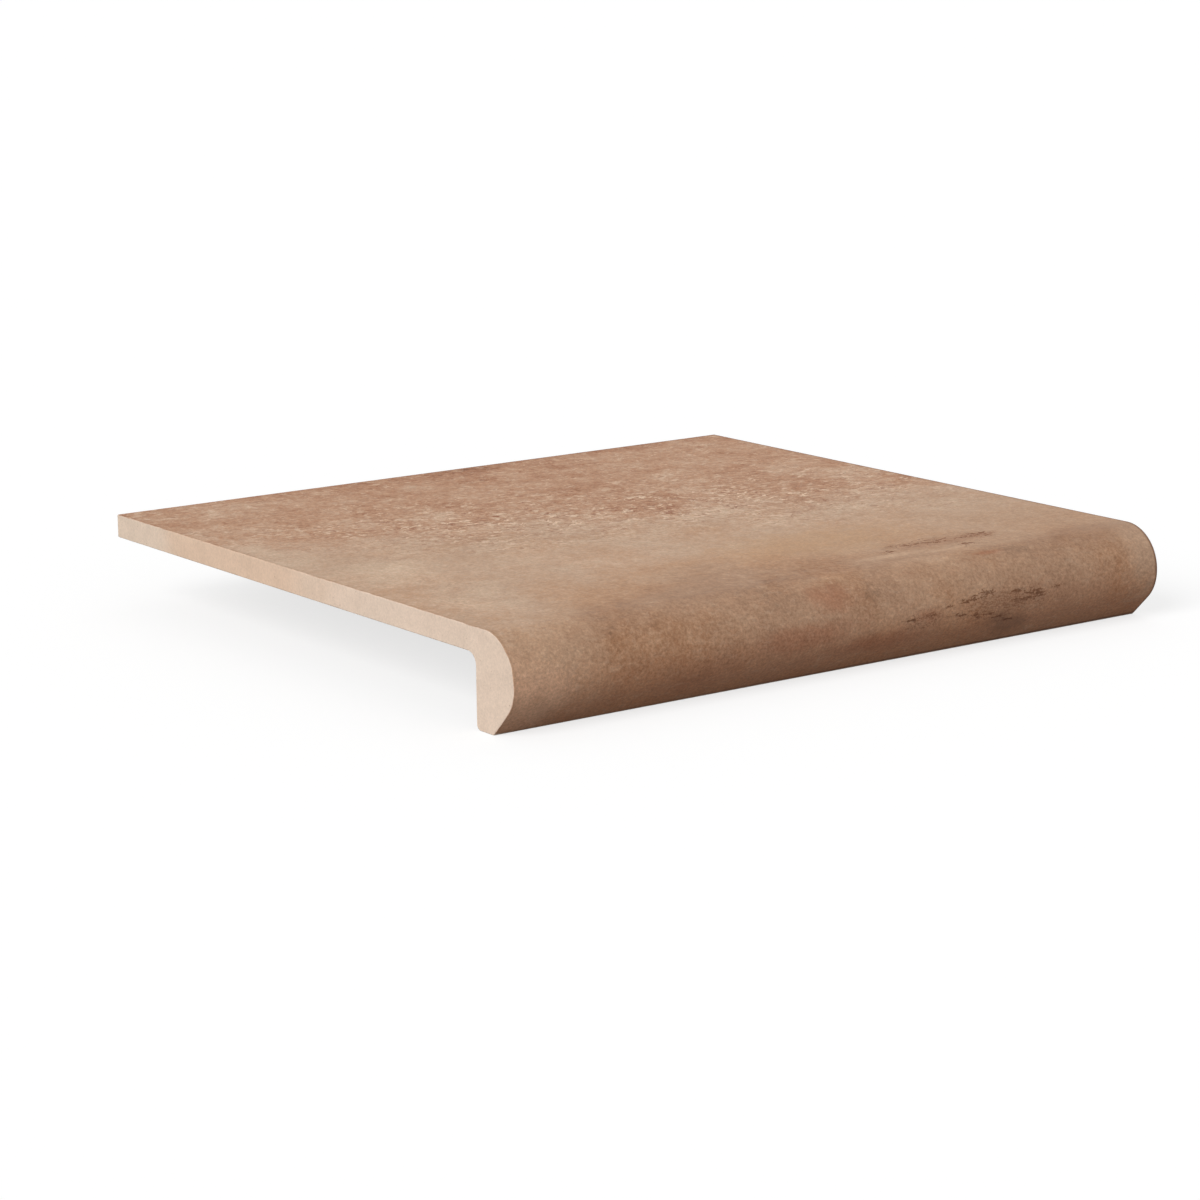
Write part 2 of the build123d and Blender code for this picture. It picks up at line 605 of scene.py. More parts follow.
@dataclass(frozen=True)
class MottledGlaze:
    """Matte glaze that fired from rust at the back, through grey beige, to tan and a brown nose."""

    rust_shades: tuple[tuple[float, Colour], ...] = (
        (0.08, Colour(116, 77, 57)),
        (0.30, Colour(163, 116, 87)),
        (0.50, Colour(184, 144, 116)),
        (0.68, Colour(194, 161, 136)),
        (0.84, Colour(209, 180, 154)),
        (1.00, Colour(228, 204, 180)),
    )
    tan_shades: tuple[tuple[float, Colour], ...] = (
        (0.08, Colour(112, 80, 60)),
        (0.30, Colour(158, 117, 88)),
        (0.50, Colour(182, 144, 114)),
        (0.68, Colour(193, 160, 134)),
        (0.84, Colour(208, 180, 154)),
        (1.00, Colour(226, 204, 182)),
    )
    grey: Colour = Colour(180, 156, 135)
    cream: Colour = Colour(226, 201, 175)
    rust: Colour = Colour(142, 91, 66)
    umber: Colour = Colour(104, 73, 54)
    chin: Colour = Colour(192, 130, 96)
    rust_slant: float = 0.22  # how much further the rust reaches for each millimetre to the right
    border_drift: float = 80.0  # strength of the noise that pushes the zones' borders about
    crown_start: float = 311.0  # where the walking face ends, from the back edge
    face_stretch: float = 0.75  # flecks on the walking face are longer from back to front by its inverse
    stroke_draw: float = 0.25  # strokes are longer along the nose by its inverse
    first_streak_layer: int = 20

    # Where each change begins and ends, from the back edge or, for left and right, from the tile's middle
    back_edge: Pair = (0.0, 22.0)
    lively_start: Pair = (60.0, 150.0)
    lively_end: Pair = (155.0, 225.0)
    lively_left: Pair = (-170.0, -70.0)
    lively_right: Pair = (90.0, 180.0)
    rust_end: Pair = (122.0, 180.0)
    beige_start: Pair = (126.0, 172.0)
    shade_change: Pair = (145.0, 205.0)
    tan_start: Pair = (220.0, 300.0)
    nose_start: Pair = (290.0, 328.0)
    coarse_start: Pair = (318.0, 345.0)
    chin_start: Pair = (330.0, 360.0)

    patches: tuple[Patches, ...] = (
        Patches(-0.12, (
            Spot(-58, 2, 30, 9), Spot(120, 8, 16, 12), Spot(2, 36, 26, 13),
            Spot(74, 30, 32, 15), Spot(-42, 80, 18, 13), Spot(28, 84, 30, 13),
            Spot(130, 97, 16, 20), Spot(0, 108, 18, 12), Spot(-36, 130, 22, 12),
            Spot(32, 146, 28, 12), Spot(0, 8, 80, 14), Spot(-30, 182, 34, 12),
            # Spot(104, 318) is painted shade: a soft darker band where the crown starts to turn down from
            # the walking face.
            Spot(92, 62, 26, 16), Spot(152, 207, 14, 12), Spot(104, 318, 60, 8),
            Spot(-70, 352, 56, 14), Spot(130, 320, 40, 9),
        )),
        Patches(-0.18, (Spot(98, 176, 26, 14), Spot(-80, 158, 26, 16))),
        Patches(-0.08, (Spot(-95, 305, 60, 34), Spot(-30, 322, 70, 30), Spot(92, 4, 30, 12))),
        Patches(-0.13, (Spot(-26, 297, 78, 38), Spot(92, 188, 26, 12))),
        Patches(0.14, (
            Spot(-176, 110, 26, 120), Spot(-150, 25, 40, 30), Spot(4, 166, 24, 9),
            Spot(34, 177, 30, 11), Spot(-62, 100, 22, 18), Spot(142, 102, 18, 12),
            Spot(155, 130, 30, 32), Spot(70, 120, 16, 12), Spot(-150, 4, 44, 16),
            # Spot(174, 328) is a painted highlight: a paler strip just inside the right end of the nose.
            Spot(174, 328, 14, 30), Spot(-152, 190, 36, 44), Spot(44, 344, 84, 12),
            Spot(-12, 318, 44, 8), Spot(48, 316, 26, 6),
        )),
        # Spot(-170, 350) is painted light: it makes the left end of the chin paler, as if lit more from the
        # left.
        Patches(0.22, (Spot(-152, 276, 56, 60), Spot(-168, 312, 44, 26), Spot(-170, 350, 66, 36))),
    )
    tints: tuple[Tint, ...] = (
        Tint(Colour(190, 149, 110), 0.42, (Spot(35, 256, 100, 50),)),
        Tint(Colour(158, 103, 76), 0.5, (
            Spot(-12, 328, 22, 14), Spot(-30, 344, 46, 12), Spot(12, 353, 46, 10),
            Spot(40, 344, 14, 6), Spot(86, 318, 16, 3),
        )),
        Tint(Colour(108, 76, 57), 0.45, (Spot(93, 358, 22, 15), Spot(84, 352, 16, 8))),
        Tint(Colour(120, 80, 57), 0.18, (Spot(84, 343, 40, 9),)),
        Tint(Colour(204, 172, 144), 0.4, (Spot(42, 302, 34, 6), Spot(70, 306, 24, 4))),
        Tint(Colour(152, 118, 95), 0.5, (Spot(150, 314, 60, 22),)),
        # A painted highlight: a pale grey sheen strip just inside the right end of the nose.
        Tint(Colour(176, 148, 126), 0.55, (Spot(174, 330, 24, 44),)),
        # Painted light: a paler, pinker left end of the chin, as if lit more from the left.
        Tint(Colour(216, 172, 142), 0.7, (Spot(-184, 352, 64, 36),)),
        Tint(Colour(152, 107, 78), 0.42, (Spot(78, 291, 44, 14), Spot(104, 290, 20, 12))),
    )
    streaks: tuple[Streaks, ...] = (
        Streaks(Colour(116, 72, 47), 0.88, (4.5, 1.6), 1.7, (
            Spot(66, 288, 24, 8), Spot(82, 290, 17, 12), Spot(105, 290, 18, 10),
            Spot(88, 302, 12, 9), Spot(47, 295, 16, 7),
        )),
        Streaks(Colour(114, 74, 52), 0.46, (3.0, 0.7), 1.4, (Spot(84, 345, 56, 13), Spot(40, 346, 26, 8))),
        Streaks(Colour(106, 68, 47), 0.8, (3.2, 0.75), 1.0, (
            Spot(62, 340.6, 10, 2.5), Spot(68, 339.6, 11, 2.5), Spot(75.5, 338.2, 12, 3.0),
            Spot(92, 340, 12, 2.3), Spot(102, 341.2, 15, 2.8), Spot(97, 344, 18, 2.7),
            Spot(106, 343, 11, 3.3), Spot(60, 346.8, 10, 1.9), Spot(68, 347.6, 11, 2.1),
            Spot(76, 348.6, 10, 1.9), Spot(82, 350.8, 9, 1.9), Spot(42, 343.8, 6, 2.5),
            Spot(30.5, 344.8, 11, 1.9), Spot(52.5, 341.5, 5, 1.9), Spot(57.5, 346, 4, 1.7),
            Spot(70.5, 349.6, 5, 1.9), Spot(117, 341, 6, 2.0), Spot(90, 353.5, 14, 2.3),
        )),
    )

    def group(self) -> bpy.types.NodeTree:
        """Builds the glaze as a node group.

        One field says how pale the glaze fired. Wide zones follow the distance from the back edge, and
        placed patches and clouds are added to them; a few patches are painted light and shade. Two rows of
        shades turn that field into colour, one behind and one in front. Over it lie a grey haze, short
        strokes, tints, among them a painted highlight and painted light, streaks and a fine grain.

        Returns:
            The group, which puts out colour, roughness and height in millimetres.
        """
        bench, at, out = finish_group("Mottled glaze")
        zones = self.zones(bench, at)
        down, slanted = zones.down, zones.slanted
        paleness = bench.plus(
            bench.rise(down, *self.back_edge, 0.42, 0.5),
            bench.rise(slanted, *self.beige_start, 0.0, 0.155),
            bench.rise(bench.plus(down, bench.times(zones.drift, 0.5)), *self.tan_start, 0.0, -0.17),
            bench.rise(down, *self.nose_start, 0.0, -0.12),
            self.clouds(zones),
        )
        behind, before = (bench.shaded(paleness, shades) for shades in (self.rust_shades, self.tan_shades))
        colour = bench.blend(bench.rise(slanted, *self.shade_change), behind, before)
        haze = bench.rise(bench.noise(at, 50.0, 2, 4.0), 0.42, 0.66, 0.3, 0.0)
        colour = bench.blend(bench.times(haze, bench.maths("SUBTRACT", 1.0, zones.rusty)), colour, self.grey)
        colour = bench.blend(bench.rise(down, *self.chin_start, 0.0, 0.5), colour, self.chin)
        colour = self.flecked(zones, colour)
        torn = bench.times(bench.around(bench.noise(at, 9.0, 14, 6.0, 0.72)), 1.6)
        for tint in self.tints:
            mask = bench.plus(self.covered(bench, at, tint.spots), torn)
            colour = bench.blend(bench.rise(mask, 0.1, 1.0, 0.0, tint.strength), colour, tint.colour)
        for layer, streaks in enumerate(self.streaks, self.first_streak_layer):
            colour = self.streaked(zones, colour, streaks, layer)

        grain = bench.noise(at, 1.4, 3, 4.0, 0.75)
        blots = bench.noise(at, 6.5, 4, 4.0, 0.7)
        coarse = bench.rise(down, *self.coarse_start, 0.95, 1.35)
        tone = bench.times(
            bench.plus(bench.times(bench.around(grain), coarse), 0.995),
            bench.rise(blots, 0.3, 0.7, 0.955, 1.045),
        )
        bench.put(bench.blend(1.0, colour, tone, Mixing.MULTIPLIED), out.inputs["Colour"])
        bench.put(bench.rise(grain, 0.3, 0.7, 0.62, 0.82), out.inputs["Roughness"])
        bench.put(bench.plus(bench.times(blots, 0.1), bench.times(grain, 0.05)), out.inputs["Height"])
        return bench.tree

    def zones(self, bench: Bench, at: Socket) -> Zones:
        """Works out the glaze's zones.

        They follow the distance from the back edge, less a share of the distance to the right, with noise
        pushing their borders about.

        Args:
            bench: where the nodes go.
            at: place on the surface, in millimetres.

        Returns:
            The zones.
        """
        along, down = bench.split(at)
        drift = bench.times(bench.around(bench.noise(at, 60.0, 1, 6.0, 0.65)), self.border_drift)
        face = bench.times(bench.maths("MINIMUM", down, self.crown_start), self.face_stretch)
        nose = bench.maths("MAXIMUM", bench.maths("SUBTRACT", down, self.crown_start), 0.0)
        fine_at = bench.add("ShaderNodeCombineXYZ")
        bench.put(along, fine_at.inputs[0])
        bench.put(bench.plus(face, nose), fine_at.inputs[1])
        slanted = bench.plus(down, bench.times(along, -self.rust_slant), drift)
        rusty = bench.rise(slanted, *self.rust_end, 1.0, 0.0)
        lively = bench.times(
            bench.rise(slanted, *self.lively_start),
            bench.rise(slanted, *self.lively_end, 1.0, 0.0),
            bench.rise(along, *self.lively_left),
            bench.rise(along, *self.lively_right, 1.0, 0.4),
        )
        return Zones(bench, at, fine_at.outputs[0], down, drift, slanted, rusty, lively)

    def clouds(self, zones: Zones) -> Socket:
        """Adds up what shifts the paleness inside the zones: placed patches and three sizes of noise.

        The wide and the middling noise are stronger in the rust zone, and the fine one in the lively band.

        Args:
            zones: the zones.

        Returns:
            The shift of the paleness.
        """
        bench, rusty = zones.bench, zones.rusty
        ragged = bench.strayed(zones.at, 22.0, 12.0, 5)
        wide = bench.around(bench.noise(ragged, 36.0, 6, 6.0, 0.6))
        middling = bench.around(bench.noise(ragged, 13.0, 7, 6.0, 0.68))
        fine = bench.around(bench.noise(bench.strayed(zones.fine_at, 4.0, 1.4, 8), 2.3, 9, 4.0, 0.75))
        shift = bench.plus(
            bench.times(wide, bench.rise(rusty, 0.0, 1.0, 0.4, 0.62)),
            bench.times(middling, bench.rise(rusty, 0.0, 1.0, 0.32, 0.55)),
            bench.times(fine, bench.plus(bench.times(zones.lively, 0.7), bench.times(rusty, 0.3), 0.6)),
        )
        for patches in self.patches:
            shift = bench.plus(shift, bench.times(self.covered(bench, ragged, patches.spots), patches.shift))
        return shift

    def flecked(self, zones: Zones, colour: Socket) -> Socket:
        """Scatters short cream and rust strokes and dark pits, thick in the lively band and thin elsewhere.

        Each kind of stroke is the crests of a noise that is drawn out along the nose and bent. Another field
        of noise breaks them up.

        Args:
            zones: the zones.
            colour: colour below.

        Returns:
            The flecked colour.
        """
        bench, at, lively = zones.bench, zones.fine_at, zones.lively
        drawn_out = bench.vector("MULTIPLY", bench.strayed(at, 8.0, 5.0, 10), (self.stroke_draw, 1.0, 1.0))
        broken = bench.rise(bench.noise(at, 11.0, 12, 4.0, 0.7), 0.38, 0.62, 0.25, 1.0)
        strength = bench.plus(bench.times(lively, 0.7), bench.times(zones.rusty, 0.38), 0.12)
        strength = bench.times(strength, broken)
        for layer, stroke, share in ((11, self.rust, 0.9), (16, self.cream, 1.0)):
            crests = bench.rise(bench.noise(drawn_out, 2.1, layer, 3.0, 0.6), 0.53, 0.64, 0.0, share)
            colour = bench.blend(bench.times(crests, strength), colour, stroke)
        pits = bench.rise(bench.noise(at, 1.9, 13, 3.0, 0.7), 0.62, 0.72)
        pitted = bench.times(pits, bench.plus(bench.times(lively, 0.25), 0.16))
        return bench.blend(pitted, colour, self.umber)

    def streaked(self, zones: Zones, colour: Socket, streaks: Streaks, layer: int) -> Socket:
        """Lays streaks on the colour.

        Each is a soft spot with a shaken outline. Fibres drawn out along the nose and crumbs are added to
        its mask before it is cut off, so they fray its edges and tear it open.

        Args:
            zones: the zones.
            colour: colour below.
            streaks: the streaks.
            layer: number of their slice of noise.

        Returns:
            The streaked colour.
        """
        bench, at = zones.bench, zones.at
        long, wide = streaks.fibre
        shaken = bench.strayed(at, 4.0 * wide, 1.4 * wide, layer)
        drawn_out = bench.vector("MULTIPLY", shaken, (wide / long, 1.0, 1.0))
        fibres = bench.around(bench.noise(drawn_out, wide, layer + 5, 3.0, 0.7))
        crumbs = bench.around(bench.noise(at, 1.3 * wide, layer + 10, 3.0, 0.75))
        density = self.covered(bench, shaken, streaks.spots)
        frayed = bench.plus(
            bench.times(density, 1.3 - 0.3 * streaks.torn),
            bench.times(fibres, 2.6 * streaks.torn),
            bench.times(crumbs, 1.6 * streaks.torn),
        )
        cut = bench.rise(frayed, 0.6, 1.05, 0.0, streaks.strength)
        marks = bench.times(cut, bench.rise(density, 0.05, 0.35))
        return bench.blend(marks, colour, streaks.colour)

    @staticmethod
    def covered(bench: Bench, at: Socket, spots: tuple[Spot, ...]) -> Socket:
        """Masks soft round spots: 1 in the middle of each, falling to nothing at its reach.

        Args:
            bench: where the nodes go.
            at: place on the surface, pushed about for a ragged edge, in millimetres.
            spots: the places.

        Returns:
            The mask of the nearest spot.
        """
        nearest = None
        for spot in spots:
            moved = bench.vector("SUBTRACT", at, (spot.along, spot.down, 0.0))
            scaled = bench.vector("MULTIPLY", moved, (1 / spot.half_length, 1 / spot.half_depth, 0.0))
            length = bench.add("ShaderNodeVectorMath", operation="LENGTH")
            bench.put(scaled, length.inputs[0])
            distance = length.outputs["Value"]
            nearest = distance if nearest is None else bench.maths("MINIMUM", nearest, distance)
        return bench.rise(nearest, 0.0, 1.0, 1.0, 0.0)


@dataclass(frozen=True)
class ClayBody:
    """The bare fired body: pale pinkish beige, clouded with grey, with fine sand in it."""

    pink: Colour = Colour(224, 203, 185)
    grey: Colour = Colour(214, 198, 180)
    rose: Colour = Colour(216, 184, 158)
    iron: Colour = Colour(150, 112, 88)
    border_drift: float = 70.0  # strength of the noise that pushes the rose zone's borders about

    # Where each change begins and ends from front to back, in millimetres from the tile's middle
    rose_start: Pair = (-60.0, 30.0)
    rose_end: Pair = (90.0, 140.0)
    grey_start: Pair = (-20.0, 165.0)

    def group(self) -> bpy.types.NodeTree:
        """Builds the body as a node group.

        Returns:
            The group, which puts out colour, roughness and height in millimetres.
        """
        bench, at, out = finish_group("Clay body")
        _, depth = bench.split(at)
        cool = bench.rise(bench.noise(at, 42.0, 1, 4.0), 0.4, 0.75, 0.0, 0.4)
        drift = bench.times(bench.around(bench.noise(at, 30.0, 2, 4.0)), self.border_drift)
        shifted = bench.plus(depth, drift)
        warm = bench.times(
            bench.rise(shifted, *self.rose_start, 0.15, 0.75),
            bench.rise(shifted, *self.rose_end, 1.0, 0.3),
        )
        colour = bench.blend(bench.rise(depth, *self.grey_start, 0.0, 0.55), self.pink, self.grey)
        colour = bench.blend(cool, colour, self.grey)
        colour = bench.blend(warm, colour, self.rose)
        specks = bench.rise(bench.noise(at, 1.7, 3, 2.0), 0.7, 0.76, 0.0, 0.45)
        colour = bench.blend(specks, colour, self.iron)
        sand = bench.noise(at, 1.1, 4, 4.0, 0.7)
        blotches = bench.noise(at, 11.0, 6, 5.0, 0.65)
        tone = bench.times(
            bench.rise(sand, 0.25, 0.75, 0.91, 1.08),
            bench.rise(blotches, 0.3, 0.7, 0.955, 1.04),
        )
        bench.put(bench.blend(1.0, colour, tone, Mixing.MULTIPLIED), out.inputs["Colour"])
        bench.put(bench.rise(sand, 0.2, 0.8, 0.8, 0.94), out.inputs["Roughness"])
        waves = bench.noise(at, 9.0, 5, 3.0)
        bench.put(bench.plus(bench.times(sand, 0.06), bench.times(waves, 0.1)), out.inputs["Height"])
        return bench.tree


@dataclass(frozen=True)
class GlazedStoneware:
    """The whole finish: the bare body, and the glaze over it as far as it reaches."""

    glaze: MottledGlaze = MottledGlaze()
    body: ClayBody = ClayBody()
    margin_wander: float = 1.0 * MM
    margin_softness: float = 0.16 * MM
    margin_bite: float = 7.0  # width of the bays in the glaze's edge, in millimetres
    rim: Colour = Colour(108, 74, 54)  # painted shade along the glaze's edge, on the arris that turns away from the key lamp
    edge_shade_from: float = 0.5 * MM
    edge_shade_to: float = 1.9 * MM
    edge_shade_strength: float = 0.75
    edge_shade_faint: float = 0.2  # share of that strength at the left, which faces the key lamp
    edge_shade_growth: Pair = (-150 * MM, 100 * MM)  # where it grows to its full strength, along the nose
    glaze_thickness: float = 0.12  # in millimetres
    shine: float = 0.1

    def material(self) -> bpy.types.Material:
        """Builds the material.

        Returns:
            One material that reads the unrolled map for the glaze, object places for the body, and the reach
            attribute, in metres from the glaze's edge, for where one gives way to the other.
        """
        made = bpy.data.materials.new("glazed_stoneware_finish")
        made.use_nodes = True
        bench = Bench(made.node_tree)
        shader = made.node_tree.nodes["Principled BSDF"]
        place = bench.add("ShaderNodeTexCoord").outputs["Object"]
        unrolled = bench.add("ShaderNodeUVMap", uv_map=UNROLLED).outputs["UV"]
        reach = bench.add("ShaderNodeAttribute", attribute_name=GLAZE_REACH).outputs["Fac"]
        glaze = bench.add("ShaderNodeGroup", node_tree=self.glaze.group())
        body = bench.add("ShaderNodeGroup", node_tree=self.body.group())
        bench.put(unrolled, glaze.inputs["Place"])
        bench.put(place, body.inputs["Place"])

        bays = bench.noise(bench.vector("SCALE", place, PER_METRE), self.margin_bite, 1, 4.0)
        inside = bench.plus(reach, bench.times(bench.around(bays), self.margin_wander))
        covered = bench.rise(inside, -self.margin_softness, self.margin_softness)
        along, _ = bench.split(place)
        # Painted shade: the glaze darkens along its edge, faintly at the left and fully towards the right,
        # where the arris turns away from the key lamp.
        edge_shaded = bench.times(
            bench.rise(inside, self.edge_shade_from, self.edge_shade_to, self.edge_shade_strength, 0.0),
            bench.rise(along, *self.edge_shade_growth, self.edge_shade_faint, 1.0),
        )
        glazed = bench.blend(edge_shaded, glaze.outputs["Colour"], self.rim)
        colour = bench.blend(covered, body.outputs["Colour"], glazed)
        bench.put(colour, shader.inputs["Base Color"])
        rough = bench.between(covered, body.outputs["Roughness"], glaze.outputs["Roughness"])
        bench.put(rough, shader.inputs["Roughness"])
        height = bench.between(covered, body.outputs["Height"], glaze.outputs["Height"])
        bump = bench.add("ShaderNodeBump")
        bump.inputs["Distance"].default_value = MM
        bench.put(bench.plus(height, bench.times(covered, self.glaze_thickness)), bump.inputs["Height"])
        bench.put(bump.outputs["Normal"], shader.inputs["Normal"])
        shader.inputs["Specular IOR Level"].default_value = self.shine
        return made


def linked(name: str, data: bpy.types.ID) -> bpy.types.Object:
    """Makes an object of a mesh, lamp or camera, at the origin, and links it to the scene."""
    made = bpy.data.objects.new(name, data)
    bpy.context.scene.collection.objects.link(made)
    return made


@dataclass
class Skin:
    """A mesh in the making: places, faces and what each of them carries."""

    places: Array
    faces: NDArray[np.int64]
    unrolled: Array
    layout: Array
    reach: Array

    def piece(self, name: str) -> bpy.types.Object:
        """Makes the mesh and its object, smooth except at corners, with both maps and the glaze's reach.

        Args:
            name: the piece's name.

        Returns:
            The object, at the origin and linked to the scene.
        """
        mesh = bpy.data.meshes.new(name)
        mesh.from_pydata(self.places.tolist(), [], self.faces.tolist())
        for title, spots in ((UNROLLED, self.unrolled), (BAKE_LAYOUT, self.layout)):
            layer = mesh.uv_layers.new(name=title)
            layer.uv.foreach_set("vector", spots.astype(np.float32).ravel())
        carried = mesh.attributes.new(GLAZE_REACH, "FLOAT", "POINT")
        carried.data.foreach_set("value", self.reach.astype(np.float32))
        mesh.polygons.foreach_set("use_smooth", np.ones(len(self.faces), bool))
        mesh.set_sharp_from_angle(angle=SHARP_CORNER)
        mesh.update()
        return linked(name, mesh)


@dataclass
class BakeLayout:
    """Where each part of the skin lies on the square bake map, in shares of its side."""

    border: float = 0.008
    glazed_scale: float = 2.0
    bare_scale: float = 0.62
    ends_left: float = 0.742
    end_pitch: float = 0.1

    def glazed(self, across: Array, path: Array) -> Array:
        """Lays the glazed side in the lower left corner."""
        return np.stack([across, path], -1) * self.glazed_scale + self.border

    def bare(self, across: Array, path: Array, path_start: float) -> Array:
        """Lays the foot, the inner side and the back above the glazed side, squeezed across."""
        low = self.glazed_scale * path_start + 3 * self.border
        return np.stack(
            [across * self.glazed_scale + self.border, (path - path_start) * self.bare_scale + low], -1
        )

    def end(self, depth: Array, height: Array, column: int) -> Array:
        """Stands an end face on its edge at the right, in its own column."""
        left = self.ends_left + self.end_pitch * column
        return np.stack([height * self.glazed_scale + left, depth * self.glazed_scale + self.border], -1)


@dataclass(frozen=True)
class Sweep:
    """The section carried along the tile, and what it measures there, in metres."""

    places: Array  # by station and outline point
    normals: Array  # outward direction of each outline point, in Y and Z
    steps: dict[Side, int]  # number of segments of each side
    x: Array  # place of each station along the tile
    turn: Array  # how far the arris has turned at each station
    across: Array  # distance of each station along the surface
    path: Array  # distance of each outline point round the section, closed


@dataclass
class TreadTile:
    """The fired tile: slab and nose in one skin."""

    section: TreadSection = field(default_factory=TreadSection)
    bed: KeyedBed = field(default_factory=KeyedBed)
    finish: GlazedStoneware = field(default_factory=GlazedStoneware)
    layout: BakeLayout = field(default_factory=BakeLayout)
    spacing: float = 2.2 * MM
    arris_steps: int = 4
    arris_share: float = 0.95  # of the section's arris, so that the corner rounds keep a little width
    arris_evenness: float = 0.55
    arris_waves: int = 24
    slowest_wave: int = 3  # beats of the longest wave round an end
    support: float = 0.02 * MM
    toe_bare: float = 0.7 * MM
    reach_limit: float = 3 * MM
    relief: float = 0.16 * MM
    relief_waves: int = 56
    relief_lengths: Pair = (9 * MM, 80 * MM)
    seed: int = 5

    def build(self) -> bpy.types.Object:
        """Carries the section along the tile, fills both ends and makes the piece.

        Returns:
            The tile's object.
        """
        low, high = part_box(NODE)
        front, back = self.section.flat_underside(low, high)
        lines = self.bed.lines(front, back, self.section.lead)
        middle, offset, _ = lines
        sides = self.section.sides(low, high, middle + offset)
        outline = Run(
            np.concatenate([sides[side].points[:-1] for side in Side]),
            np.concatenate([sides[side].normals[:-1] for side in Side]),
        )
        steps = {side: len(sides[side].points) - 1 for side in Side}
        x, inset, turn = self.stations(high.x)
        places = self.swept(outline, x, inset)
        self.sink_slots(places, steps, lines, x)

        across = self.travelled(np.column_stack([x, inset]))
        centre_line = places[len(x) // 2, :, 1:]
        path = self.travelled(np.vstack([centre_line, centre_line[:1]]))
        sweep = Sweep(places, outline.normals, steps, x, turn, across, path)
        reach = self.glaze_reach(sweep)
        self.ripple(sweep, reach)
        return self.skinned(sweep, reach).piece("tread_tile")

    def dress(self, piece: bpy.types.Object) -> None:
        """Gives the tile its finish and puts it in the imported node's place."""
        piece.data.materials.append(self.finish.material())
        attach(piece, "root")
        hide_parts(NODE)

    @staticmethod
    def travelled(points: Array) -> Array:
        """Adds up the distances between points, from 0 at the first."""
        return np.concatenate([[0.0], np.cumsum(np.linalg.norm(np.diff(points, axis=0), axis=1))])

    def stations(self, half_width: float) -> tuple[Array, Array, Array]:
        """Places the section along the tile.

        The right half has even steps, the slots' round ends, and the arris: a quarter turn in which the
        section moves out by the radius times the sine and in by the radius less its cosine. The left half
        mirrors it.

        Args:
            half_width: half the tile's width along the nose.

        Returns:
            The place of each section along the tile, how far it is drawn in, and the arris's turn there.
        """
        radius = self.section.arris_radius * self.arris_share
        slot_end = self.bed.stations(half_width)
        rim = half_width - radius
        inner = np.linspace(0, slot_end[0], round(slot_end[0] / self.spacing), endpoint=False)
        border = np.linspace(slot_end[-1], rim - self.section.lead, round(self.bed.margin / self.spacing))
        turn = np.linspace(0, math.pi / 2, self.arris_steps + 1)
        plain = np.concatenate([inner, slot_end, border[1:]])
        x = np.concatenate([plain, rim + radius * np.sin(turn), [half_width]])
        inset = np.concatenate([0 * plain, radius * (1 - np.cos(turn)), [radius + self.support]])
        turned = np.concatenate([0 * plain, turn, turn[-1:]])
        left_x, left_inset, left_turned = -x[:0:-1], inset[:0:-1], turned[:0:-1]
        return (
            np.concatenate([left_x, x]),
            np.concatenate([left_inset, inset]),
            np.concatenate([left_turned, turned]),
        )

    def swept(self, outline: Run, x: Array, inset: Array) -> Array:
        """Carries the outline along the tile: each point less its outward direction times the inset.

        The inset varies gently round each end, because the edges are softened by hand.

        Args:
            outline: the closed section.
            x: place of each section along the tile.
            inset: how far each section is drawn in.

        Returns:
            Places by station and outline point.
        """
        draw = np.random.default_rng(self.seed)
        count = len(outline.points)
        turns = 2 * np.pi * np.arange(count) / count
        phases = draw.uniform(0, 2 * np.pi, (2, self.arris_waves, 1))
        beats = self.slowest_wave + np.arange(self.arris_waves)[None, :, None]
        wave = np.sin(beats * turns + phases).mean(1)
        soft = self.arris_evenness + (1 - self.arris_evenness) * (0.5 + wave / (2 * np.abs(wave).max()))
        drawn = inset[:, None] * np.where(x[:, None] < 0, soft[0], soft[1])
        flat = outline.points - drawn[..., None] * outline.normals
        return np.concatenate([np.broadcast_to(x[:, None, None], (len(x), count, 1)), flat], axis=2)

    def sink_slots(
        self, places: Array, steps: dict[Side, int], lines: tuple[Array, Array, Array], x: Array
    ) -> None:
        """Presses the keying slots into the underside.

        A slot's line moves to its middle plus its offset times the width left at that station, and rises by
        the slot's depth where it lies on the floor.

        Args:
            places: places by station and outline point, changed in place.
            steps: number of segments of each side.
            lines: middle, offset and depth share of each line on the underside.
            x: place of each station.
        """
        middle, offset, sunk = lines
        half_width = x[-1]
        last = steps[Side.GLAZED] + steps[Side.FOOT] + steps[Side.INNER] - self.section.corner_steps
        columns = slice(last - len(middle) + 1, last + 1)
        within = np.flatnonzero(np.abs(x) < half_width - self.bed.margin / 2)
        narrow = self.bed.narrowed(x[within], half_width)[:, None]
        deep = self.bed.deep(x[within], half_width)[:, None]
        places[within, columns, 1] = middle + offset * narrow
        places[within, columns, 2] += self.bed.depth * sunk * deep

    def glaze_reach(self, sweep: Sweep) -> Array:
        """Measures how far each place lies inside the glaze's edge, along the surface.

        Across, the edge is halfway round the arris of each end. Along the section it is halfway round the
        back arris and just short of the toe. The nearer edge counts, and bare places are negative.

        Args:
            sweep: the swept section.

        Returns:
            The reach by station and outline point, in metres.
        """
        radius = self.section.arris_radius * self.arris_share
        rim = sweep.x[-1] - radius
        sideways = rim - np.minimum(np.abs(sweep.x), rim) + radius * (math.pi / 4 - sweep.turn)
        down, whole = sweep.path[:-1], sweep.path[-1]
        lower_edge = sweep.path[sweep.steps[Side.GLAZED]] - self.toe_bare
        lengthwise = np.minimum(down, lower_edge - down)
        back_start = len(down) - sweep.steps[Side.BACK]
        lengthwise[back_start:] = down[back_start:] - whole
        return np.clip(np.minimum(sideways[:, None], lengthwise), -self.reach_limit, self.reach_limit)

